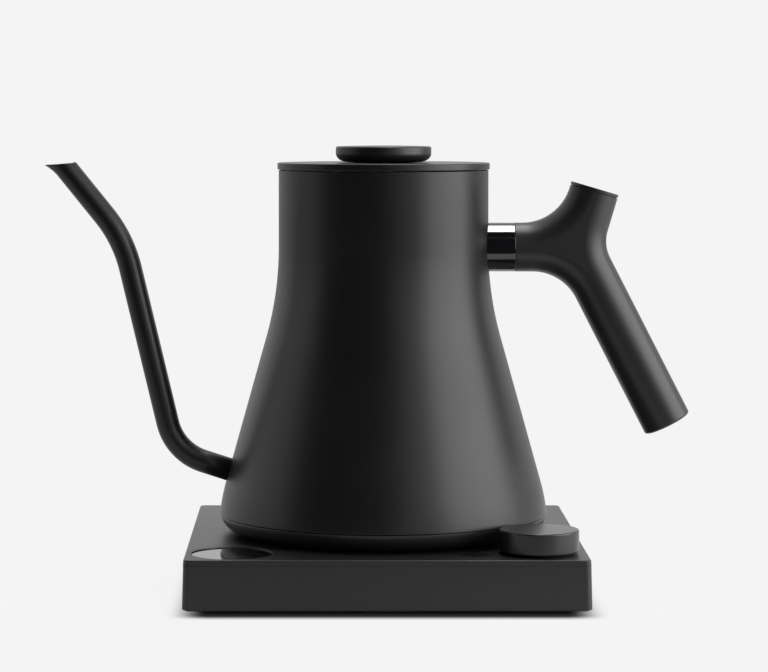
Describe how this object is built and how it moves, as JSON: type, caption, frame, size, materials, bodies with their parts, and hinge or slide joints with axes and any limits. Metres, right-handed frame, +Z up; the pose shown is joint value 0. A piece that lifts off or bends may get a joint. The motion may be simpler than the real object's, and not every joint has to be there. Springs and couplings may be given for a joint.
{
  "type": "electric pour-over kettle with power base",
  "caption": "Matte black gooseneck electric kettle with flared body, flat lid and branched handle, seated on a square power base with round display and knob.",
  "frame": {"origin": "middle of the whole object's footprint, at the height of the feet's undersides", "axes": "+X from the spout to the handle, +Y from the control side to the rear, +Z up"},
  "size_m": [0.2882, 0.1724, 0.194],
  "materials": {
    "matte_black_plastic": "fine-grained matte black moulding",
    "coated_steel": "satin black powder coat on stainless steel",
    "gloss_black": "polished black",
    "steel": "plain stainless steel",
    "aluminium": "cast aluminium",
    "brass": "plain brass contact",
    "rubber": "black rubber",
    "silicone": "grey silicone",
    "pale_plastic": "pale technical plastic",
    "circuit_board": "green solder mask"
  },
  "bodies": {
    "base": {"base_bottom_plate": "matte_black_plastic", "base_centre_pin": "brass", "base_connector": "matte_black_plastic", "base_contact_ring": "brass", "base_foot_1": "rubber", "base_foot_2": "rubber", "base_foot_3": "rubber", "base_foot_4": "rubber", "base_housing": "matte_black_plastic", "base_screw_1": "steel", "base_screw_2": "steel", "base_screw_3": "steel", "base_screw_4": "steel", "control_board": "circuit_board", "cord_gland": "rubber", "display_bezel": "matte_black_plastic", "display_lens": "gloss_black", "display_module": "pale_plastic", "encoder_body": "matte_black_plastic", "hold_switch_body": "matte_black_plastic", "indicator_lens": "gloss_black", "power_board": "circuit_board", "relay": "matte_black_plastic", "terminal_block": "pale_plastic", "transformer": "pale_plastic"},
    "hold_slider": {"hold_switch_slider": "matte_black_plastic"},
    "knob_plunger": {"encoder_plunger": "pale_plastic"},
    "knob": {"knob_shaft": "steel", "control_knob": "matte_black_plastic"},
    "connector_turntable": {"connector_shutter": "matte_black_plastic"},
    "kettle": {"kettle_shell": "coated_steel", "kettle_floor": "steel", "underside_cover": "matte_black_plastic", "cover_screw_1": "steel", "cover_screw_2": "steel", "cover_screw_3": "steel", "heat_spreader": "aluminium", "heating_element": "steel", "element_terminal_1": "brass", "element_terminal_2": "brass", "temperature_probe": "steel", "boil_dry_cutout": "brass", "kettle_connector": "matte_black_plastic", "kettle_contact_socket": "brass", "spout": "coated_steel", "handle_ferrule": "gloss_black", "handle_stud": "steel", "handle_body": "matte_black_plastic", "handle_screw": "steel", "handle_top_cap": "matte_black_plastic", "handle_counterweight": "steel", "handle_end_plug": "matte_black_plastic"},
    "lid": {"lid_disc": "coated_steel", "lid_skirt": "steel", "lid_seal": "silicone", "lid_spacer": "steel", "lid_knob": "matte_black_plastic", "lid_screw": "steel"}
  },
  "joints": [
    {"name": "knob_press", "type": "slide", "parent": "base", "child": "knob_plunger", "axis": [0, 0, -1], "range_m": [0, 0.0008], "stiffness_N_per_m": 600, "springref_m": -0.003},
    {"name": "knob_turn", "type": "hinge", "parent": "knob_plunger", "child": "knob", "pos_m": [0.07257, -0.065, 0], "axis": [0, 0, 1], "continuous": true},
    {"name": "hold_switch_slide", "type": "slide", "parent": "base", "child": "hold_slider", "axis": [1, 0, 0], "range_m": [0, 0.005]},
    {"name": "kettle_turn", "type": "hinge", "parent": "base", "child": "connector_turntable", "pos_m": [0.00757, 0, 0], "axis": [0, 0, 1], "continuous": true},
    {"name": "kettle_lift", "type": "slide", "parent": "connector_turntable", "child": "kettle", "axis": [0, 0, 1], "range_m": [0, 0.06]},
    {"name": "lid_lift", "type": "slide", "parent": "kettle", "child": "lid", "axis": [0, 0, 1], "range_m": [0, 0.03]}
  ]
}
